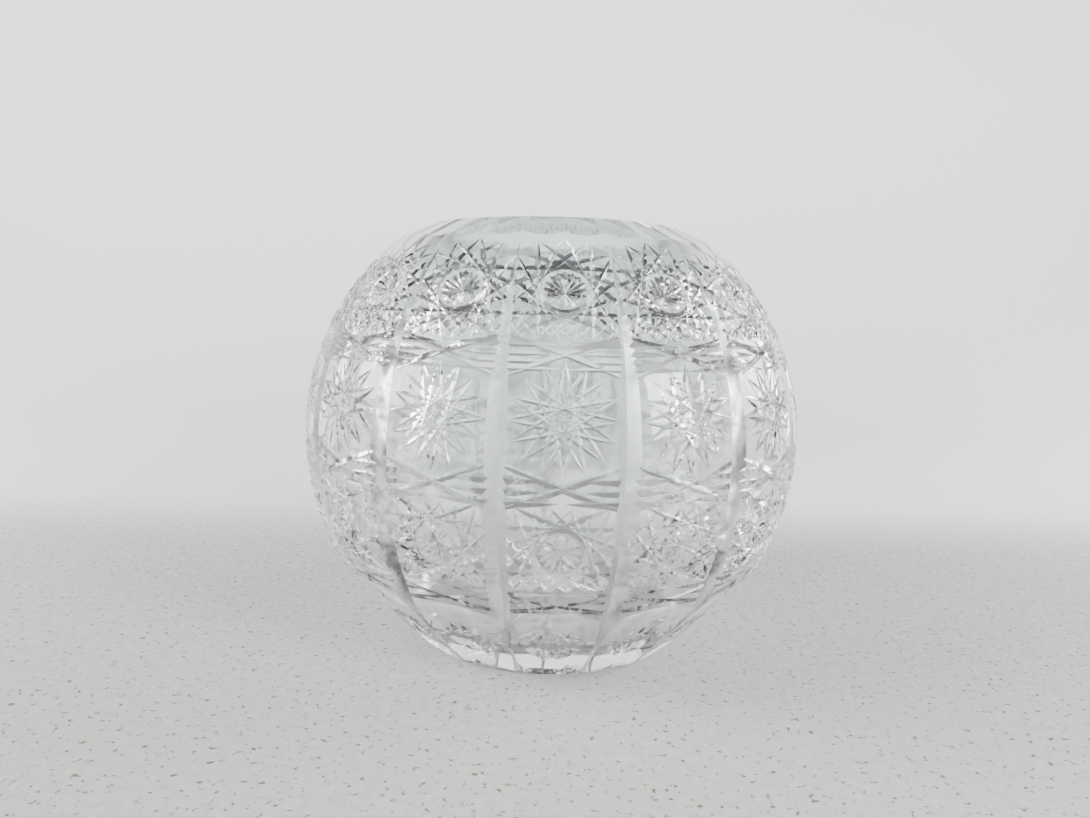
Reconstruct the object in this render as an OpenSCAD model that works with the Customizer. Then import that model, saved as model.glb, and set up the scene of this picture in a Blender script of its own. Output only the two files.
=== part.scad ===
// Cut crystal vase: a globe-shaped rose bowl in clear lead crystal, made of one piece of glass.
// Z is up.  The origin is at the centre of the flat foot, on the surface it rests on.
// A panel of the cutting faces the front, which is -Y.  Sizes are in millimetres.

/* [Bowl] */
// width of the globe at its belly
bowl_d = 200; // [160:5:240]
// height from the foot to the lip
bowl_h = 166.5; // [150:0.5:180]
// height of the widest point above the foot
belly_z = 84; // [70:1:92]
// radius of the round mouth
mouth_r = 44; // [34:1:48]
// thickness of the wall at the belly, before cutting
wall_t = 9; // [7:0.5:14]
// thickness of the solid bottom
base_t = 15; // [12:1:26]

/* [Lip] */
// width of the polished bevel inside the lip
lip_bevel = 2; // [1:0.5:4]
// scallops cut round the lip
scallop_count = 30; // [16:2:40]
// radius of the hollow ground by one scallop, nearly flat
scallop_r = 60; // [20:5:120]
// height above the belly where a scallop runs out on the globe
scallop_end = 74.8; // [70:0.2:78]
// slope of a scallop above the level, in degrees
scallop_slope = 26; // [20:1:34]

/* [Upright cuts] */
// panels round the bowl, with one upright mitre cut between two of them
panel_count = 15; // [12:1:18]
// depth of an upright mitre cut at the belly
mitre_depth = 4; // [2:0.5:5]
// half the opening angle of the mitre wheel
mitre_half_angle = 43; // [35:1:50]
// how far behind the axis of the bowl the wheel path has its centre
path_back = 9.4; // [6:0.2:14]
// how far above the belly the wheel path has its centre
path_lift = 2; // [0:0.5:4]

/* [Panels] */
// radius of the round button ground above and below the middle of each panel
button_r = 7.5; // [4:0.5:9]
// depth of a button at its centre
button_depth = 1.2; // [0.6:0.2:2]
// height of the upper buttons above the belly
upper_button_z = 56; // [50:1:60]
// depth of the lower buttons below the belly
lower_button_z = 25; // [20:1:30]
// depth of the level mitre cuts that bound the bands
band_depth = 1.4; // [0.6:0.2:2]

/* [Foot] */
// depth of the flat that is ground at the foot of each panel
flat_depth = 3.2; // [1:0.2:4]
// rays of the star cut under the foot
ray_count = 15; // [10:1:24]
// length of a ray
ray_length = 46; // [30:1:48]
// depth of a ray at the centre of the star
ray_depth = 2.2; // [1:0.2:3]

/* [Hidden] */
globe_r = bowl_d / 2;
lip_z = bowl_h - belly_z;
inner_r = globe_r - wall_t;
// radius of the circle that the edge of the mitre wheel follows
path_r = globe_r - mitre_depth + path_back;
// sphere that grinds a button
button_ball_r = (button_r * button_r + button_depth * button_depth) / (2 * button_depth);
// radius of the globe where a scallop runs out
scallop_end_r = sqrt(globe_r * globe_r - scallop_end * scallop_end);
// latitude of the middle of a foot flat
flat_lift = 43;
// levels of the band cuts, measured from the belly
band_levels = [39.5, 31.5, -1.5, -11, -40, -47];
panel_turn = 360 / panel_count;
scallop_turn = 360 / scallop_count;
front = -90;
crystal = [0.86, 0.91, 0.93, 0.45];

// half profile of the blown and polished blank, before any cutting
module blank_profile() {
    difference() {
        intersection() {
            translate([0, belly_z]) circle(r = globe_r, $fn = 240);
            square([globe_r + 1, bowl_h]);
        }
        intersection() {
            translate([0, belly_z]) circle(r = inner_r, $fn = 240);
            translate([-1, base_t]) square([globe_r, bowl_h]);
        }
        translate([-1, bowl_h - 40]) square([mouth_r + 1, 50]);
        polygon([[mouth_r - 1, bowl_h + 1],
                 [mouth_r - 1, bowl_h - lip_bevel - 1],
                 [mouth_r + lip_bevel + 1, bowl_h + 1]]);
    }
}

module blank() {
    rotate_extrude($fn = 240) blank_profile();
}

// one V-section ring: what a mitre wheel leaves when its edge follows a circle
module mitre_ring(radius, depth, half_angle) {
    rise = depth + 3;
    spread = rise * tan(half_angle);
    rotate_extrude($fn = 240)
        polygon([[radius, 0], [radius + rise, spread], [radius + rise, -spread]]);
}

// the upright cuts between the panels, which run down to notch the edge of the foot
module upright_cuts() {
    for (i = [0 : panel_count - 1])
        rotate([0, 0, front + (i + 0.5) * panel_turn])
            difference() {
                translate([-path_back, 0, belly_z + path_lift])
                    rotate([90, 0, 0])
                        mitre_ring(path_r, mitre_depth, mitre_half_angle);
                translate([-270, -20, -100]) cube([300, 40, 400]);
            }
}

// the level cuts that bound the bands of the pattern, one ring to each level
module band_cuts() {
    for (level = band_levels)
        translate([0, 0, belly_z + level])
            mitre_ring(sqrt(globe_r * globe_r - level * level) - band_depth, band_depth, 50);
}

// one row of round buttons, one to a panel
module buttons(level) {
    for (i = [0 : panel_count - 1])
        rotate([0, 0, front + i * panel_turn])
            translate([0, 0, belly_z])
                rotate([0, -asin(level / globe_r), 0])
                    translate([globe_r - button_depth + button_ball_r, 0, 0])
                        sphere(r = button_ball_r, $fn = 96);
}

// the polished scallops that run down from the lip
module scallops() {
    for (i = [0 : scallop_count - 1])
        rotate([0, 0, front + (i + 0.5) * scallop_turn])
            translate([scallop_end_r, 0, belly_z + scallop_end])
                rotate([0, scallop_slope - 90, 0])
                    translate([scallop_r, 0, -10])
                        cylinder(r = scallop_r, h = 40, $fn = 240);
}

// the broad flat at the foot of each panel
module foot_flats() {
    for (i = [0 : panel_count - 1])
        rotate([0, 0, front + i * panel_turn])
            translate([0, 0, belly_z])
                rotate([0, flat_lift, 0])
                    translate([globe_r - flat_depth, -30, -40]) cube([20, 60, 80]);
}

// the star of tapered rays under the foot
module foot_star() {
    for (i = [0 : ray_count - 1])
        rotate([0, 0, front + (i + 0.5) * 360 / ray_count])
            translate([0, 0, ray_depth])
                rotate([0, atan(ray_depth / ray_length), 0])
                    rotate([90, 0, 90])
                        linear_extrude(height = ray_length + 2)
                            polygon([[0, 0], [6, -6], [-6, -6]]);
}

module crystal_bowl() {
    color(crystal)
        difference() {
            blank();
            scallops();
            upright_cuts();
            band_cuts();
            buttons(upper_button_z);
            buttons(-lower_button_z);
            foot_flats();
            foot_star();
        }
}

crystal_bowl();
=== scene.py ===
"""Cut crystal vase: a globe-shaped rose bowl of clear lead crystal with wheel-cut panels.

Laid out as an add-on and run as a script.  Lengths in the property groups are in metres.
The cutting is worked out in millimetres about the centre of the globe, at belly height.
Longitude is counted from the front, -Y, towards +X, and latitude upwards from the belly.
"""
import math

import bmesh
import bpy
import numpy as np
from bpy.props import FloatProperty, FloatVectorProperty, IntProperty, PointerProperty
from mathutils import Matrix, Vector


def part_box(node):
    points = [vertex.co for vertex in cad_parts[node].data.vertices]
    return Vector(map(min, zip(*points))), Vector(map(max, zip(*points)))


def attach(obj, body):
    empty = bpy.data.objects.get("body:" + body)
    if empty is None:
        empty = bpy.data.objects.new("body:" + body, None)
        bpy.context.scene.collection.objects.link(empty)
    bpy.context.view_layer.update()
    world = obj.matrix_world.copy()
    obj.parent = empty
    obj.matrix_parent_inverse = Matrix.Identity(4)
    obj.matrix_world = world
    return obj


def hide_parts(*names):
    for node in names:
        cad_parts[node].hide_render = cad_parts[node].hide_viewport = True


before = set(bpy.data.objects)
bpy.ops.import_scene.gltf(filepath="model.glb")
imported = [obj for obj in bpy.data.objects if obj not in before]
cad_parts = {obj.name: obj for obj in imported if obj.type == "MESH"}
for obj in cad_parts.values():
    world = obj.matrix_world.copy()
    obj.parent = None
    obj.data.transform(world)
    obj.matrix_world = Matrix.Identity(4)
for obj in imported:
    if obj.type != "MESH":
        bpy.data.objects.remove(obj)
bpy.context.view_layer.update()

bl_info = {
    "name": "Cut Crystal Vase",
    "version": (1, 0, 0),
    "blender": (4, 5, 0),
    "location": "3D View > Sidebar > Vase",
    "description": "Builds a wheel-cut crystal rose bowl and its small studio",
    "category": "Object",
}

NODE_LOW, NODE_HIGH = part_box("crystal_bowl")
# millimetres to a metre
MM = 1000.0
UP = np.array([0.0, 0.0, 1.0])

# half the opening angle of the upright cuts, in degrees
UPRIGHT_HALF_ANGLE = 43.0
# latitude of the middle of a foot flat, and how far its edge lies from there on the globe
FLAT_LAT = -43.0
FLAT_HALF_SPAN = 14.5
# length of the rays under the foot, in millimetres
FOOT_RAY_LENGTH = 46.0
# how near seam points are before they are welded, in millimetres
WELD = 2e-4
# an edge is sharp where its faces turn by more than this, in degrees
SHARP_ANGLE = 13.0
# order of the finishes in the bowl's material slots
POLISHED, CUT, BLOWN, SATIN = range(4)


# ---------------------------------------------------------------- sizes and colours

class VaseSizes(bpy.types.PropertyGroup):
    """Sizes of the crystal bowl and of its cuts."""
    globe_radius: FloatProperty(
        name="Globe radius", default=0.1, unit="LENGTH",
        description="Radius of the globe before cutting")
    belly_height: FloatProperty(
        name="Belly height", default=0.084, unit="LENGTH",
        description="Height of the widest point above the foot")
    height: FloatProperty(
        name="Height", default=round(NODE_HIGH[2] - NODE_LOW[2], 5), unit="LENGTH",
        description="Height from the foot to the lip")
    wall: FloatProperty(
        name="Wall", default=0.009, unit="LENGTH",
        description="Thickness of the wall before cutting")
    bottom: FloatProperty(
        name="Bottom", default=0.015, unit="LENGTH",
        description="Thickness of the solid bottom")
    mouth_radius: FloatProperty(
        name="Mouth radius", default=0.044, unit="LENGTH",
        description="Radius of the round mouth")
    panels: IntProperty(
        name="Panels", default=15, min=12, max=18,
        description="Number of cut panels round the bowl")
    upright_depth: FloatProperty(
        name="Upright cut depth", default=0.004, unit="LENGTH",
        description="Depth of an upright cut at the belly")


class VaseColours(bpy.types.PropertyGroup):
    """Colours of the crystal and of the studio."""
    crystal: FloatVectorProperty(
        name="Crystal", subtype="COLOR", size=3, default=(0.995, 0.998, 0.998), min=0.0, max=1.0,
        description="Tint of the crystal")
    crystal_ior: FloatProperty(
        name="Refraction", default=1.545, min=1.4, max=1.8,
        description="Index of refraction of lead crystal")
    floor: FloatVectorProperty(
        name="Floor", subtype="COLOR", size=3, default=(0.60, 0.59, 0.565), min=0.0, max=1.0,
        description="Colour of the floor")
    wall: FloatVectorProperty(
        name="Wall", subtype="COLOR", size=3, default=(0.95, 0.955, 0.975), min=0.0, max=1.0,
        description="Colour of the wall behind")


# ---------------------------------------------------------------- the wheel cuts

def direction(lon, lat):
    """Unit vectors of longitudes and latitudes in degrees: (cos lat sin lon, -cos lat cos lon, sin lat)."""
    lon, lat = np.broadcast_arrays(np.radians(lon), np.radians(lat))
    return np.stack([np.cos(lat) * np.sin(lon), -np.cos(lat) * np.cos(lon), np.sin(lat)], -1)


def around(lon, lat, radius, turn):
    """Unit vectors at an angular radius from a centre, turned clockwise from straight up, in degrees.

    The point is cos(radius) centre + sin(radius) (sin(turn) east + cos(turn) north).
    """
    centre = direction(lon, lat)
    east = direction(lon + 90.0, 0.0)
    north = np.cross(centre, east)
    radius, turn = np.radians(radius), np.radians(np.asarray(turn, float))[..., None]
    return np.cos(radius) * centre + np.sin(radius) * (np.sin(turn) * east + np.cos(turn) * north)


def carried(rings):
    """Closed solid from a profile carried along a path: rings[i, j] is point j of the profile at step i.

    Walls join each ring to the next, and a flat cap closes each end.
    """
    steps, count = rings.shape[:2]
    index = np.arange(steps * count).reshape(steps, count)
    along, back = index[:-1], index[1:]
    walls = np.stack([along, np.roll(along, -1, 1), np.roll(back, -1, 1), back], -1).reshape(-1, 4)
    faces = walls.tolist() + [index[0, ::-1].tolist(), index[-1].tolist()]
    return rings.reshape(-1, 3), faces


def mitre(globe, start, end, depth, half_angle=45.0, steps=6, power=4, lift=1.3):
    """Wedge that a mitre wheel takes out between two tips on the globe.

    With t running from 0 at one tip to 1 at the other along their great circle, the valley lies
    depth (1 - (2t - 1)^power) under the globe, and the walls open by half_angle on each side.
    A power of 2 is one touch of the wheel, and 4 is a wheel led along the line.  The wedge runs on
    past both tips by a fiftieth of its length, and stands lift above the globe.  Where there are
    more than six steps, they are closer together where the valley bends more.
    """
    span = math.acos(float(np.clip(start @ end, -1.0, 1.0)))
    share = np.linspace(-1.0, 1.0, steps + 1)[:, None]
    if steps > 6:
        share = np.sign(share) * np.abs(share) ** (2.0 / power)
    t = 0.5 + 0.52 * share
    path = (np.sin((1.0 - t) * span) * start + np.sin(t * span) * end) / math.sin(span)
    side = np.cross(start, end)
    side /= np.linalg.norm(side)
    sunk = depth * (1.0 - np.abs(2.0 * t - 1.0) ** power)
    half = (sunk + lift) * math.tan(math.radians(half_angle))
    top = (globe + lift) * path
    return carried(np.stack([(globe - sunk) * path, top + half * side, top - half * side], 1))


def clipped(start, end, low, high):
    """The two tips of a cut, moved along its great circle to where it leaves a belt of latitudes."""
    t = np.linspace(0.0, 1.0, 201)[:, None]
    span = math.acos(float(np.clip(start @ end, -1.0, 1.0)))
    path = (np.sin((1.0 - t) * span) * start + np.sin(t * span) * end) / math.sin(span)
    lat = np.degrees(np.arcsin(path[:, 2]))
    kept = np.flatnonzero((lat > low) & (lat < high))
    if len(kept) < 30:
        return None
    return path[kept[0]], path[kept[-1]]


def star(globe, lat, radius, points, skip, depth, belt=(-90.0, 90.0), half_angle=45.0):
    """Cuts of a star polygon: each tip is joined to the tip that lies skip places further round."""
    tips = around(0.0, lat, radius, np.arange(points) * 360.0 / points)
    cuts = []
    for start, end in zip(tips, np.roll(tips, -skip, 0)):
        ends = clipped(start, end, *belt)
        if ends is not None:
            cuts.append(mitre(globe, *ends, depth, half_angle, 8))
    return cuts


def rays(globe, lat, radius, lines, depth, half_angle=45.0):
    """Cuts straight across a centre, evenly turned, that make a small star of twice as many rays."""
    turns = np.arange(lines) * 180.0 / lines
    starts, ends = around(0.0, lat, radius, turns), around(0.0, lat, radius, turns + 180.0)
    return [mitre(globe, a, b, depth, half_angle, 6) for a, b in zip(starts, ends)]


def lattice(globe, belt, half, spacing, depth):
    """Short crossed cuts that lean 45 degrees both ways, spacing apart, and run out at the belt's edges."""
    low, high = belt
    lean = (high - low) / math.cos(math.radians(0.5 * (low + high)))
    starts = np.arange(-lean, half + lean, spacing)
    cuts = []
    for lon in starts:
        cuts.append(mitre(globe, direction(lon, low), direction(lon + lean, high), depth, 42.0, 4))
        cuts.append(mitre(globe, direction(lon + lean, low), direction(lon, high), depth, 42.0, 4))
    return cuts


def button(globe, lat, radius, depth, rings=6, sides=36):
    """Lens ground out by a round stone: a ball of radius (a^2 + d^2) / 2d sunk by d, cut to a disc a wide.

    The first grid direction runs from the middle of the lens to its edge, the second round it.
    """
    ball = (radius ** 2 + depth ** 2) / (2.0 * depth)
    reach = np.linspace(0.0, 1.25 * radius, rings + 1)[1:, None]
    turn = np.linspace(0.0, 2.0 * np.pi, sides, endpoint=False)[None, :]
    lift = globe - depth + ball - np.sqrt(ball ** 2 - reach ** 2)
    normal = direction(0.0, lat)
    east = direction(90.0, 0.0)
    north = np.cross(east, normal)
    flat = reach[..., None] * (np.cos(turn)[..., None] * east + np.sin(turn)[..., None] * north)
    bowl = flat + lift[..., None] * normal
    lid = flat[-1:] + (globe + 2.5) * normal
    grid = np.concatenate([bowl, lid], 0)
    points = np.concatenate([grid.reshape(-1, 3), ((globe - depth) * normal)[None]], 0)
    index = np.arange(grid.shape[0] * sides).reshape(-1, sides)
    inner, outer = index[:-1], index[1:]
    quads = np.stack([inner, np.roll(inner, -1, 1), np.roll(outer, -1, 1), outer], -1).reshape(-1, 4)
    middle = len(points) - 1
    fan = np.stack([np.full(sides, middle), np.roll(index[0], -1), index[0]], -1)
    return points, quads.tolist() + fan.tolist() + [index[-1].tolist()]


def upright(globe, turn, depth, half_angle=UPRIGHT_HALF_ANGLE, back=9.4, rise=2.0):
    """V-section ring sector: the wheel's edge follows a circle of radius globe - depth + back whose
    centre lies back behind the axis and rise above the belly, in the upright plane at turn."""
    angle = np.radians(np.linspace(-62.0, 62.0, 42))[:, None]
    out, side = direction(turn, 0.0), direction(turn + 90.0, 0.0)
    centre = -back * out + rise * UP
    ray = np.cos(angle) * out + np.sin(angle) * UP
    radius, high = globe - depth + back, depth + 3.0
    half = high * math.tan(math.radians(half_angle))
    top = centre + (radius + high) * ray
    return carried(np.stack([centre + radius * ray, top + half * side, top - half * side], 1))


def scallop(globe, turn, end_lat=48.4, slope=26.0, radius=60.0):
    """Trough ground from the shoulder up over the lip: an arc of the given radius carried up the slope."""
    out, side = direction(turn, 0.0), direction(turn + 90.0, 0.0)
    incline = math.radians(slope)
    along = -math.cos(incline) * out + math.sin(incline) * UP
    off = math.sin(incline) * out + math.cos(incline) * UP
    start = globe * direction(turn, end_lat)
    bend = np.radians(np.linspace(-14.0, 14.0, 21))[:, None]
    arc = radius * np.sin(bend) * side + radius * (1.0 - np.cos(bend)) * off
    lid = np.stack([arc[-1] + 30.0 * off, arc[0] + 30.0 * off])
    section = np.concatenate([arc, lid], 0)
    reach = np.array([-9.0, 0.0, 6.0, 12.0, 18.0, 30.0])[:, None, None]
    return carried(start + section[None] + reach * along)


def flat(globe, lat=FLAT_LAT, half_span=FLAT_HALF_SPAN, half_width=40.0, thick=25.0):
    """Slab above a plane square to the direction at lat, which meets the globe half_span away from it."""
    normal, east = direction(0.0, lat), direction(90.0, 0.0)
    north = np.cross(east, normal)
    foot = globe * math.cos(math.radians(half_span))
    corners = half_width * np.array([[-1.0, -1.0], [1.0, -1.0], [1.0, 1.0], [-1.0, 1.0]])
    square = corners[:, :1] * east + corners[:, 1:] * north
    return carried(np.stack([square + foot * normal, square + (foot + thick) * normal]))


def petals(globe, lat=FLAT_LAT, half_span=FLAT_HALF_SPAN, root=-14.6, length=27.0, depth=1.1,
           lean=33.0, half_angle=60.0, gap=3.5, shorter=7.0, lift=0.8):
    """Fan cut in a foot flat: petals lean by equal steps from upright to lean, from a root on the flat.

    A petal at share s of the lean starts gap from the root and ends length - shorter s^2 from it.
    At share t of that run it is depth (1 - (2t - 1)^2) deep.  Only the half of the fan on the side
    of growing longitude is given.
    """
    normal, east = direction(0.0, lat), direction(90.0, 0.0)
    up = np.cross(normal, east)
    base = globe * math.cos(math.radians(half_span)) * normal + root * up
    t = np.linspace(0.0, 1.04, 6)[:, None]
    sunk = depth * (1.0 - (2.0 * t - 1.0) ** 2)
    half = (sunk + lift) * math.tan(math.radians(half_angle))
    cuts = []
    for share in np.linspace(0.0, 1.0, 4):
        angle = math.radians(lean * share)
        along = math.sin(angle) * east + math.cos(angle) * up
        side = math.cos(angle) * east - math.sin(angle) * up
        line = base + (gap + (length - gap - shorter * share ** 2) * t) * along
        top = line + lift * normal
        cuts.append(carried(np.stack([line - sunk * normal, top + half * side, top - half * side], 1)))
    return cuts


def foot_ray(turn, foot, depth, length=FOOT_RAY_LENGTH, half_width=4.4, lift=2.0):
    """Ray under the foot: a V depth deep and half_width to each side at the axis, tapering out at length."""
    out, side = direction(turn, 0.0), direction(turn + 90.0, 0.0)
    run = np.array([-0.12, 1.08])[:, None] * length
    sunk = depth * (1.0 - run / length)
    spread = (sunk + lift) * half_width / depth
    base = run * out + (foot - lift) * UP
    return carried(np.stack([base + (sunk + lift) * UP, base + spread * side, base - spread * side], 1))


def buttoned_stars(globe):
    """The two 16-point stars of a panel, each round a ground button with 16 small rays in it."""
    cuts = star(globe, lat=34.5, radius=12.9, points=16, skip=6, depth=1.15, belt=(23.6, 60.0),
                half_angle=42.0)
    cuts += star(globe, lat=-14.5, radius=12.3, points=16, skip=6, depth=1.25, belt=(-23.1, -5.6),
                 half_angle=42.0)
    cuts.append(button(globe, lat=34.4, radius=6.7, depth=2.0))
    cuts.append(button(globe, lat=-14.5, radius=6.7, depth=1.6))
    cuts += rays(globe, lat=34.4, radius=4.2, lines=8, depth=2.3)
    cuts += rays(globe, lat=-14.45, radius=4.1, lines=8, depth=1.85)
    return cuts


def window_star(globe):
    """The fine 16-point star in the polished window, with a small star at its middle."""
    cuts = star(globe, lat=9.8, radius=10.2, points=16, skip=7, depth=1.0, half_angle=40.0)
    return cuts + rays(globe, lat=9.8, radius=1.5, lines=4, depth=0.4)


def crossed_cuts(globe, reach=13.0, half_angle=42.0):
    """Pairs of long cuts that cross in the middle of the two belts and of the narrow belt below."""
    cuts = []
    for level, rise, depth in ((20.8, 4.4, 1.15), (-2.2, 4.8, 1.3), (-25.9, 2.4, 0.7)):
        for sign in (-1.0, 1.0):
            start = direction(-reach, level - sign * rise)
            end = direction(reach, level + sign * rise)
            cuts.append(mitre(globe, start, end, depth, half_angle, 10))
    return cuts


def level_cuts(globe, middle, half_angle=44.0):
    """Level cuts pressed in across the upright cut at middle, running out towards the panel's middle."""
    upper_belt = ((23.0, 11.6, 1.5), (21.4, 9.0, 1.3), (20.0, 8.6, 1.3), (18.5, 11.9, 1.3))
    middle_belt = ((-0.8, 9.4, 1.8), (-2.9, 8.4, 1.7), (-4.9, 11.6, 1.7))
    lower_belt = ((-23.5, 11.8, 1.2), (-25.6, 7.5, 0.8), (-28.0, 9.8, 0.9))
    cuts = []
    for lat, reach, depth in upper_belt + middle_belt + lower_belt:
        start, end = direction(middle - reach, lat), direction(middle + reach, lat)
        cuts.append(mitre(globe, start, end, depth, half_angle, 10, 2))
    return cuts


def panel_cuts(sizes):
    """Every cut that reaches the half panel from its middle line to the middle of an upright cut."""
    globe = sizes.globe_radius * MM
    half = 180.0 / sizes.panels
    foot = -sizes.belly_height * MM
    cuts = [scallop(globe, 0.5 * half), upright(globe, half, sizes.upright_depth * MM), flat(globe)]
    cuts += buttoned_stars(globe)
    # fine crossed cuts in the corners of the buttoned stars
    cuts += lattice(globe, (23.8, 30.2), half, 3.0, 0.75)
    cuts += lattice(globe, (-23.0, -18.6), half, 3.0, 0.7)
    cuts += window_star(globe)
    cuts += crossed_cuts(globe)
    cuts += level_cuts(globe, half)
    cuts += petals(globe)
    cuts.append(foot_ray(half, foot, 2.4))
    cuts.append(foot_ray(0.0, foot, 2.2))
    return cuts


# ---------------------------------------------------------------- the blank and the cutting

def blank_profile(sizes, rounding=2.6, fillet=22.0):
    """Half section of the blank as points (r, z), from the middle of the foot out, up and back inside.

    The outside is an arc of the globe, the lip a flat with a rounded inner edge, and the inside an
    arc of the globe less the wall, carried into the level floor by an arc of radius fillet whose
    centre lies on the circle of radius inner - fillet.
    """
    globe, low = sizes.globe_radius * MM, -sizes.belly_height * MM
    top = (sizes.height - sizes.belly_height) * MM
    inner, mouth = globe - sizes.wall * MM, sizes.mouth_radius * MM
    floor = low + sizes.bottom * MM
    lat = np.linspace(math.asin(low / globe), math.asin(top / globe), 56)
    outside = np.stack([globe * np.cos(lat), globe * np.sin(lat)], 1)
    foot = np.stack([np.linspace(0.0, outside[0, 0], 7)[:-1], np.full(6, low)], 1)
    join = math.sqrt(inner ** 2 - mouth ** 2)
    bend = np.linspace(0.0, 0.5 * np.pi, 6)
    edge = np.stack([mouth + rounding * (1.0 - np.sin(bend)), join + (top - join) * np.cos(bend)], 1)
    middle = np.array([math.sqrt((inner - fillet) ** 2 - (floor + fillet) ** 2), floor + fillet])
    meet = math.atan2(middle[1], middle[0])
    sweep = np.linspace(math.acos(mouth / inner), meet, 28)[1:, None]
    inside = inner * np.concatenate([np.cos(sweep), np.sin(sweep)], 1)
    turn = np.linspace(meet, -0.5 * np.pi, 9)[1:, None]
    corner = middle + fillet * np.concatenate([np.cos(turn), np.sin(turn)], 1)
    level = np.stack([np.linspace(middle[0], 0.0, 5)[1:], np.full(4, floor)], 1)
    return np.concatenate([foot, outside, edge, inside, corner, level], 0)


def blank_wedge(sizes, steps=6):
    """Closed wedge of the blank between the middle of a panel and the middle of an upright cut.

    Point (j, i) is profile point j turned i / steps of the way; both end points lie on the axis.
    """
    profile = blank_profile(sizes)
    lon = np.linspace(0.0, 180.0 / sizes.panels, steps + 1)
    ring = direction(lon, 0.0)
    body = profile[1:-1, None, :1] * ring[None] + profile[1:-1, None, 1:] * UP
    rows = len(body)
    points = np.concatenate([body.reshape(-1, 3), profile[[0, -1], 1:] * UP])
    index = np.arange(rows * (steps + 1)).reshape(rows, steps + 1)
    low, high = len(points) - 2, len(points) - 1
    quads = np.stack([index[:-1, :-1], index[:-1, 1:], index[1:, 1:], index[1:, :-1]], -1).reshape(-1, 4)
    first = np.stack([np.full(steps, low), index[0, 1:], index[0, :-1]], -1)
    last = np.stack([np.full(steps, high), index[-1, :-1], index[-1, 1:]], -1)
    caps = [[low] + index[:, 0].tolist() + [high], [high] + index[::-1, -1].tolist() + [low]]
    return points, quads.tolist() + first.tolist() + last.tolist() + caps


def solid(name, points, faces):
    """Mesh object of a closed shape with its faces turned outwards."""
    mesh = bpy.data.meshes.new(name)
    mesh.from_pydata(np.asarray(points, float).tolist(), [], faces)
    shape = bmesh.new()
    shape.from_mesh(mesh)
    bmesh.ops.recalc_face_normals(shape, faces=shape.faces)
    shape.to_mesh(mesh)
    shape.free()
    piece = bpy.data.objects.new(name, mesh)
    bpy.context.scene.collection.objects.link(piece)
    return piece


def mesh_arrays(mesh):
    """Points and triangles of a triangulated mesh as arrays."""
    points = np.zeros(3 * len(mesh.vertices))
    mesh.vertices.foreach_get("co", points)
    faces = np.zeros(3 * len(mesh.polygons), dtype=np.int32)
    mesh.polygons.foreach_get("vertices", faces)
    return points.reshape(-1, 3), faces.reshape(-1, 3)


def opened(points, faces, planes, near=2e-3, on=1e-4):
    """Snap points that are near a side plane to it, then leave out the faces that lie in a plane.

    A point moves by minus its distance from the plane, along the plane's normal.
    """
    for plane in planes:
        away = points @ plane
        away[np.abs(away) >= near] = 0.0
        points = points - away[:, None] * plane
    in_plane = [np.all(np.abs(points @ plane)[faces] < on, axis=1) for plane in planes]
    kept = faces[~np.any(in_plane, axis=0)]
    used, kept = np.unique(kept, return_inverse=True)
    return points[used], kept.reshape(-1, 3)


def cut_half_panel(sizes):
    """Points and triangles of the cut half panel, open along its two upright sides."""
    wedge = solid("half_panel", *blank_wedge(sizes))
    tools = [solid("cut", *cut) for cut in panel_cuts(sizes)]
    wheel_marks = bpy.data.collections.new("wheel_marks")
    for tool in tools:
        wheel_marks.objects.link(tool)
    step = wedge.modifiers.new("cut", "BOOLEAN")
    step.operation, step.solver = "DIFFERENCE", "MANIFOLD"
    step.operand_type, step.collection = "COLLECTION", wheel_marks
    done = wedge.evaluated_get(bpy.context.evaluated_depsgraph_get())
    shape = bmesh.new()
    shape.from_mesh(done.to_mesh())
    bmesh.ops.dissolve_degenerate(shape, edges=shape.edges, dist=1e-3)
    bmesh.ops.triangulate(shape, faces=shape.faces, ngon_method="EAR_CLIP")
    result = bpy.data.meshes.new("half_panel_cut")
    shape.to_mesh(result)
    shape.free()
    sides = (direction(90.0, 0.0), direction(180.0 / sizes.panels + 90.0, 0.0))
    points, faces = opened(*mesh_arrays(result), sides)
    bpy.data.meshes.remove(result)
    bpy.data.collections.remove(wheel_marks)
    for piece in [wedge] + tools:
        mesh = piece.data
        bpy.data.objects.remove(piece)
        bpy.data.meshes.remove(mesh)
    return points, faces


def whole_bowl(sizes):
    """Triangles of the whole bowl: the half panel, its mirror image, and both turned round the axis."""
    points, faces = cut_half_panel(sizes)
    mirrored = points * np.array([-1.0, 1.0, 1.0])
    panel = np.concatenate([points, mirrored])
    panel_faces = np.concatenate([faces, faces[:, ::-1] + len(points)])
    turn = np.arange(sizes.panels) * 2.0 * np.pi / sizes.panels
    spin = np.stack([np.stack([np.cos(turn), -np.sin(turn), 0 * turn], -1),
                     np.stack([np.sin(turn), np.cos(turn), 0 * turn], -1),
                     np.stack([0 * turn, 0 * turn, 1 + 0 * turn], -1)], 1)
    verts = np.einsum("nij,pj->npi", spin, panel).reshape(-1, 3)
    tris = (panel_faces[None] + (np.arange(sizes.panels) * len(panel))[:, None, None]).reshape(-1, 3)
    return verts, tris


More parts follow.
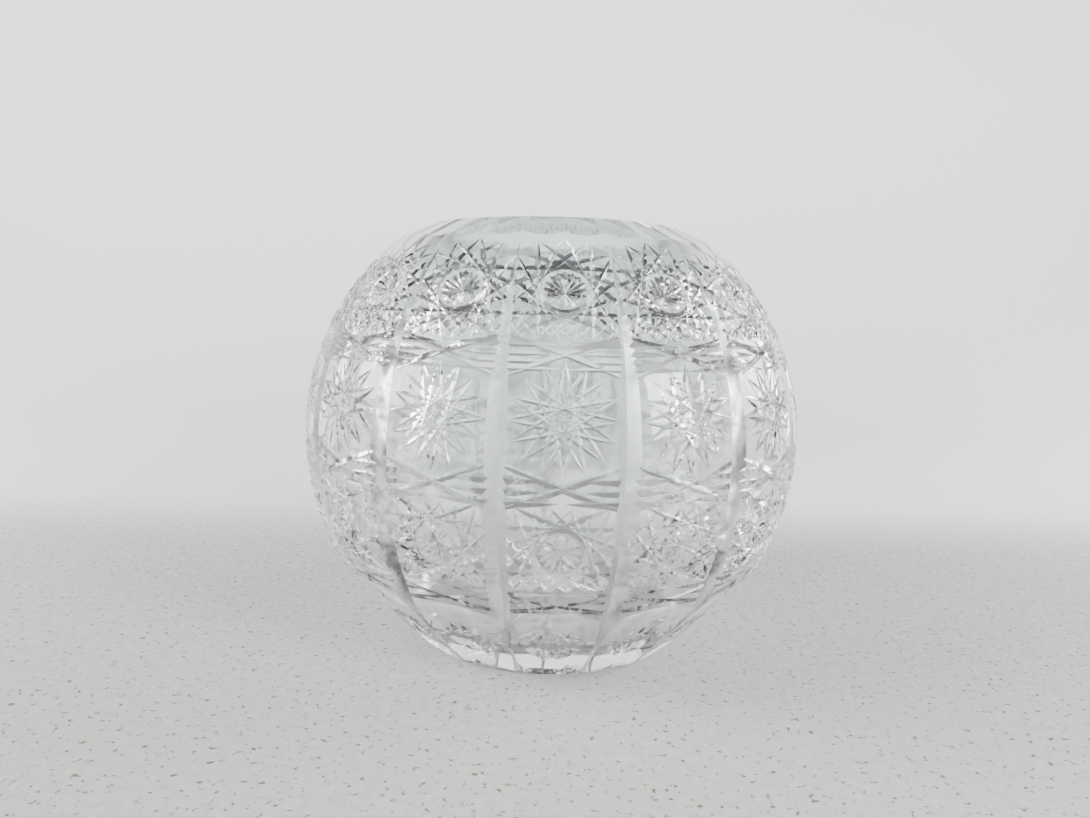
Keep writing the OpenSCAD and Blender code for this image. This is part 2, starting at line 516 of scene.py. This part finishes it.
def finish_of(sizes, centres, normals, skin=1e-4, corner=0.012, reach=0.006, slack=0.012):
    """Finish of each face: polished, cut by the wheel, blown, or the satin walls of upright cuts.

    Blown faces lie within the blank's inner arc, more than corner above the solid bottom.  Cut faces
    lie more than skin below the outer arc, from the foot flats up to the scallops.  The walls of an
    upright cut lie within reach of its upright plane and stand at its half angle to it, give or take
    slack in the cosine.
    """
    middle = np.array([0.0, 0.0, sizes.belly_height])
    out = np.linalg.norm(centres - middle, axis=1)
    lat = np.degrees(np.arcsin(np.clip((centres[:, 2] - sizes.belly_height) / out, -1.0, 1.0)))
    inner = sizes.globe_radius - sizes.wall
    blown = (out < inner + 2.0 * skin) & (centres[:, 2] > sizes.bottom + corner)
    below = (out < sizes.globe_radius - skin) & (out > inner + 1e-3)
    cut = below & (lat > -30.0) & (lat < 50.0)
    # the nearest upright cut's plane, through the axis, with the horizontal normal side
    step = 2.0 * np.pi / sizes.panels
    lon = np.arctan2(centres[:, 0], -centres[:, 1])
    lon = (np.floor(lon / step) + 0.5) * step
    side = np.stack([np.cos(lon), np.sin(lon), 0.0 * lon], 1)
    away = np.abs(np.einsum("ij,ij->i", centres, side))
    lean = np.abs(np.einsum("ij,ij->i", normals, side))
    wall = below & (away < reach) & (np.abs(lean - math.cos(math.radians(UPRIGHT_HALF_ANGLE))) < slack)
    return np.select([blown, wall, cut], [BLOWN, SATIN, CUT], POLISHED)


def crystal_mesh(sizes):
    """Closed, welded mesh of the bowl in metres, with its wheel-cut edges kept sharp."""
    verts, tris = whole_bowl(sizes)
    mesh = bpy.data.meshes.new("crystal_bowl_cut")
    mesh.vertices.add(len(verts))
    mesh.vertices.foreach_set("co", verts.astype(np.float32).ravel())
    mesh.loops.add(tris.size)
    mesh.loops.foreach_set("vertex_index", tris.ravel().astype(np.int32))
    mesh.polygons.add(len(tris))
    mesh.polygons.foreach_set("loop_start", np.arange(0, tris.size, 3, dtype=np.int32))
    mesh.update(calc_edges=True)
    shape = bmesh.new()
    shape.from_mesh(mesh)
    seam = [v for v in shape.verts if v.is_boundary]
    bmesh.ops.remove_doubles(shape, verts=seam, dist=WELD)
    open_edges = sum(1 for e in shape.edges if not e.is_manifold)
    print("bowl:", len(shape.faces), "triangles,", open_edges, "open or doubled edges")
    bmesh.ops.transform(shape, verts=shape.verts,
                        matrix=Matrix.Translation((0, 0, sizes.belly_height)) @ Matrix.Scale(1 / MM, 4))
    shape.to_mesh(mesh)
    shape.free()
    mesh.polygons.foreach_set("use_smooth", np.ones(len(mesh.polygons), dtype=bool))
    mesh.set_sharp_from_angle(angle=math.radians(SHARP_ANGLE))
    centres = np.zeros(3 * len(mesh.polygons))
    mesh.polygons.foreach_get("center", centres)
    normals = np.zeros(3 * len(mesh.polygons))
    mesh.polygons.foreach_get("normal", normals)
    finish = finish_of(sizes, centres.reshape(-1, 3), normals.reshape(-1, 3))
    print("faces of each finish:", np.bincount(finish).tolist())
    mesh.polygons.foreach_set("material_index", finish.astype(np.int32))
    mesh.update()
    return mesh


# ---------------------------------------------------------------- materials

def new_material(name):
    """Empty node material: its node tree, its principled shader and its output node."""
    material = bpy.data.materials.new(name)
    material.use_nodes = True
    tree = material.node_tree
    tree.nodes.clear()
    output = tree.nodes.new("ShaderNodeOutputMaterial")
    shader = tree.nodes.new("ShaderNodeBsdfPrincipled")
    tree.links.new(shader.outputs["BSDF"], output.inputs["Surface"])
    return material, tree, shader, output


def noise(tree, place, scale, detail, roughness=0.5):
    """Value of a noise pattern at place."""
    pattern = tree.nodes.new("ShaderNodeTexNoise")
    pattern.inputs["Scale"].default_value = scale
    pattern.inputs["Detail"].default_value = detail
    pattern.inputs["Roughness"].default_value = roughness
    tree.links.new(place, pattern.inputs["Vector"])
    return pattern.outputs["Fac"]


def spread(tree, value, start, end, low=0.0, high=1.0, smooth=False):
    """Value carried from the range start to end onto low to high, and held at both ends."""
    ramp = tree.nodes.new("ShaderNodeMapRange")
    if smooth:
        ramp.interpolation_type = "SMOOTHSTEP"
    ramp.inputs["From Min"].default_value = start
    ramp.inputs["From Max"].default_value = end
    ramp.inputs["To Min"].default_value = low
    ramp.inputs["To Max"].default_value = high
    tree.links.new(value, ramp.inputs["Value"])
    return ramp.outputs["Result"]


def mixed(tree, share, first, second):
    """Colour between first and second, each a tuple or the output of a node."""
    mix = tree.nodes.new("ShaderNodeMixRGB")
    tree.links.new(share, mix.inputs["Fac"])
    for name, colour in (("Color1", first), ("Color2", second)):
        if isinstance(colour, bpy.types.NodeSocket):
            tree.links.new(colour, mix.inputs[name])
        else:
            mix.inputs[name].default_value = (*colour, 1.0)
    return mix.outputs["Color"]


def parts_of(tree, vector):
    """The parts X, Y and Z of a vector, each under its own letter."""
    split = tree.nodes.new("ShaderNodeSeparateXYZ")
    tree.links.new(vector, split.inputs["Vector"])
    return split.outputs


def crystal_material(name, colours, gloss, haze, ripple_height):
    """Clear lead crystal: the polish leaves a faint ripple, and roughness wanders from gloss to haze."""
    material, tree, shader, output = new_material(name)
    shader.inputs["Base Color"].default_value = (*colours.crystal, 1.0)
    shader.inputs["Transmission Weight"].default_value = 1.0
    shader.inputs["IOR"].default_value = colours.crystal_ior
    place = tree.nodes.new("ShaderNodeTexCoord").outputs["Object"]
    bump = tree.nodes.new("ShaderNodeBump")
    bump.inputs["Strength"].default_value = 1.0
    bump.inputs["Distance"].default_value = ripple_height
    tree.links.new(noise(tree, place, 90.0, 2.0), bump.inputs["Height"])
    tree.links.new(bump.outputs["Normal"], shader.inputs["Normal"])
    haziness = spread(tree, noise(tree, place, 35.0, 4.0), 0.45, 0.75, gloss, haze)
    tree.links.new(haziness, shader.inputs["Roughness"])
    depth = tree.nodes.new("ShaderNodeVolumeAbsorption")
    depth.inputs["Color"].default_value = (0.95, 0.98, 0.97, 1.0)
    depth.inputs["Density"].default_value = 0.8
    tree.links.new(depth.outputs["Volume"], output.inputs["Volume"])
    return material


def room_material(colours):
    """Pale plaster floor with grain and small dark pits, whiter behind the vase.

    The floor turns into the wall as it rises, and the wall greys round to the front of the room: painted
    shade that stands for a dim room behind the camera.
    """
    material, tree, shader, _ = new_material("pale_plaster")
    place = tree.nodes.new("ShaderNodeTexCoord").outputs["Object"]
    parts = parts_of(tree, place)
    grain = noise(tree, place, 240.0, 8.0, 0.7)
    plaster = mixed(tree, grain, [0.72 * c for c in colours.floor], [1.28 * c for c in colours.floor])
    pits = spread(tree, noise(tree, place, 400.0, 6.0, 0.65), 0.60, 0.62, 0.0, 0.9)
    pitted = mixed(tree, pits, plaster, (0.13, 0.115, 0.095))
    behind = spread(tree, parts["Y"], 0.10, 0.24, smooth=True)
    floor = mixed(tree, behind, pitted, colours.wall)
    # painted shade: the wall darkens to 0.42 of its colour towards the front, as if the room behind the
    # camera were unlit
    painted_shade_fade = spread(tree, parts["Y"], -0.1, 1.05, smooth=True)
    wall = mixed(tree, painted_shade_fade, [0.42 * c for c in colours.wall], colours.wall)
    rising = spread(tree, parts["Z"], 0.0, 0.25, smooth=True)
    tree.links.new(mixed(tree, rising, floor, wall), shader.inputs["Base Color"])
    shader.inputs["Roughness"].default_value = 0.8
    shader.inputs["Specular IOR Level"].default_value = 0.3
    return material


# ---------------------------------------------------------------- studio

def cove_mesh(reach=0.75, bend=0.5, top=0.95, sides=96):
    """Round studio cove: a level floor to reach, a quarter circle of radius bend, then an upright wall.

    Point (i, j) is profile point i turned j parts of a full circle.
    """
    turn = np.linspace(0.0, 0.5 * np.pi, 16)[1:]
    level = np.linspace(0.0, reach, 12)[1:]
    r = np.concatenate([level, reach + bend * np.sin(turn), [reach + bend]])
    z = np.concatenate([0.0 * level, bend * (1.0 - np.cos(turn)), [top]])
    angle = np.linspace(0.0, 2.0 * np.pi, sides, endpoint=False)
    grid = np.stack([np.outer(r, np.cos(angle)), np.outer(r, np.sin(angle)),
                     np.repeat(z[:, None], sides, 1)], -1)
    points = np.concatenate([grid.reshape(-1, 3), np.zeros((1, 3))])
    index = np.arange(len(r) * sides).reshape(-1, sides)
    inner, outer = index[:-1], index[1:]
    quads = np.stack([inner, outer, np.roll(outer, -1, 1), np.roll(inner, -1, 1)], -1).reshape(-1, 4)
    fan = np.stack([np.full(sides, len(points) - 1), index[0], np.roll(index[0], -1)], -1)
    mesh = bpy.data.meshes.new("studio_cove")
    mesh.from_pydata(points.tolist(), [], quads.tolist() + fan.tolist())
    mesh.polygons.foreach_set("use_smooth", np.ones(len(mesh.polygons), dtype=bool))
    mesh.update()
    return mesh


def window_light(name, place, aim, wide, high, watts):
    """White rectangular area light at place, turned to face aim, like a window with a thin blind."""
    light = bpy.data.lights.new(name, "AREA")
    light.shape, light.size, light.size_y = "RECTANGLE", wide, high
    light.energy = watts
    lamp = bpy.data.objects.new(name, light)
    lamp.location = place
    lamp.rotation_euler = (Vector(aim) - Vector(place)).to_track_quat("-Z", "Y").to_euler()
    bpy.context.scene.collection.objects.link(lamp)
    return lamp


def studio_world():
    """Room light: a bright band above the wall, stronger in front of the vase, under a dark ceiling."""
    world = bpy.data.worlds.new("studio_air")
    world.use_nodes = True
    tree = world.node_tree
    tree.nodes.clear()
    output = tree.nodes.new("ShaderNodeOutputWorld")
    air = tree.nodes.new("ShaderNodeBackground")
    look = parts_of(tree, tree.nodes.new("ShaderNodeTexCoord").outputs["Generated"])
    overhead = spread(tree, look["Z"], 0.60, 0.76)
    tone = mixed(tree, overhead, (1.85, 1.86, 1.92), (0.07, 0.07, 0.08))
    tree.links.new(tone, air.inputs["Color"])
    strength = spread(tree, look["Y"], -0.7, 0.7, 1.25, 0.35)
    tree.links.new(strength, air.inputs["Strength"])
    tree.links.new(air.outputs["Background"], output.inputs["Surface"])
    bpy.context.scene.world = world


def studio_camera(sizes):
    """Camera a third of a metre in front of the bowl, a little above the belly, looking slightly down."""
    globe = sizes.globe_radius
    # the camera stands turned by spin round the bowl, then looks by yaw to the side and pitch down
    spin, yaw, pitch, roll = (math.radians(a) for a in (-2.35, -0.45, 6.89, -1.55))
    ahead = np.array([math.sin(yaw) * math.cos(pitch), math.cos(yaw) * math.cos(pitch), -math.sin(pitch)])
    right = np.array([math.cos(yaw), -math.sin(yaw), 0.0])
    down = np.cross(ahead, right)
    level = math.cos(roll) * right + math.sin(roll) * down
    lower = -math.sin(roll) * right + math.cos(roll) * down
    # place in globe radii from the middle of the globe
    place = globe * np.array([0.0, -3.365, 0.491])
    turn = Matrix.Rotation(spin, 4, "Z")
    basis = Matrix([[*r, 0.0] for r in np.stack([level, -lower, -ahead], 1)] + [[0, 0, 0, 1]])
    data = bpy.data.cameras.new("view_camera")
    # focal length as a share of the picture's width
    focal_share = 799.0 / 1090.0
    data.sensor_width, data.lens = 36.0, 36.0 * focal_share
    data.clip_start, data.clip_end = 0.01, 20.0
    camera = bpy.data.objects.new("view_camera", data)
    camera.matrix_world = (Matrix.Translation((0, 0, sizes.belly_height)) @ turn
                           @ Matrix.Translation(place.tolist()) @ basis)
    bpy.context.scene.collection.objects.link(camera)
    bpy.context.scene.camera = camera


# ---------------------------------------------------------------- operators and panel

class VASE_OT_crystal_bowl(bpy.types.Operator):
    """Cut the crystal bowl and put it in place of its plain solid"""
    bl_idname = "vase.crystal_bowl"
    bl_label = "Crystal bowl"

    def execute(self, context):
        bowl = bpy.data.objects.new("crystal_bowl_cut", crystal_mesh(context.scene.vase_sizes))
        context.scene.collection.objects.link(bowl)
        colours = context.scene.vase_colours
        # in the order of the finishes: polished, cut, blown and satin
        for name, gloss, haze, ripple_height in (("polished_crystal", 0.0, 0.03, 0.00003),
                                                 ("cut_crystal", 0.0, 0.06, 0.00002),
                                                 ("blown_inside", 0.10, 0.20, 0.0002),
                                                 ("satin_cut", 0.24, 0.40, 0.00002)):
            bowl.data.materials.append(crystal_material(name, colours, gloss, haze, ripple_height))
        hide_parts("crystal_bowl")
        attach(bowl, "root")
        return {"FINISHED"}


class VASE_OT_stage(bpy.types.Operator):
    """Set up the pale floor, the soft lights and the camera"""
    bl_idname = "vase.stage"
    bl_label = "Studio"

    def execute(self, context):
        cove = bpy.data.objects.new("studio_cove", cove_mesh())
        context.scene.collection.objects.link(cove)
        cove.data.materials.append(room_material(context.scene.vase_colours))
        studio_world()
        window_light("left_window", (-1.0, -0.15, 0.55), (0.0, 0.25, 0.08), 0.7, 0.6, 20.0)
        window_light("front_window", (0.72, -0.62, 0.34), (0.0, 0.25, 0.10), 0.34, 0.42, 12.0)
        window_light("right_window", (0.98, 0.15, 0.42), (0.0, 0.05, 0.08), 0.5, 0.5, 9.5)
        studio_camera(context.scene.vase_sizes)
        return {"FINISHED"}


class VASE_PT_panel(bpy.types.Panel):
    """The vase's pieces and sizes"""
    bl_idname = "VASE_PT_panel"
    bl_label = "Cut crystal vase"
    bl_space_type = "VIEW_3D"
    bl_region_type = "UI"
    bl_category = "Vase"

    def draw(self, context):
        layout = self.layout
        for group in (context.scene.vase_sizes, context.scene.vase_colours):
            for key in group.__annotations__:
                layout.prop(group, key)
        layout.operator("vase.crystal_bowl")
        layout.operator("vase.stage")


CLASSES = (VaseSizes, VaseColours, VASE_OT_crystal_bowl, VASE_OT_stage, VASE_PT_panel)


def register():
    """Register every class and hang the property groups on the scene."""
    for cls in CLASSES:
        bpy.utils.register_class(cls)
    bpy.types.Scene.vase_sizes = PointerProperty(type=VaseSizes)
    bpy.types.Scene.vase_colours = PointerProperty(type=VaseColours)


def unregister():
    """Take the property groups and the classes away again."""
    del bpy.types.Scene.vase_colours
    del bpy.types.Scene.vase_sizes
    for cls in reversed(CLASSES):
        bpy.utils.unregister_class(cls)


def main():
    """Build everything in order."""
    register()
    bpy.ops.vase.crystal_bowl()
    bpy.ops.vase.stage()


if __name__ == "__main__":
    main()
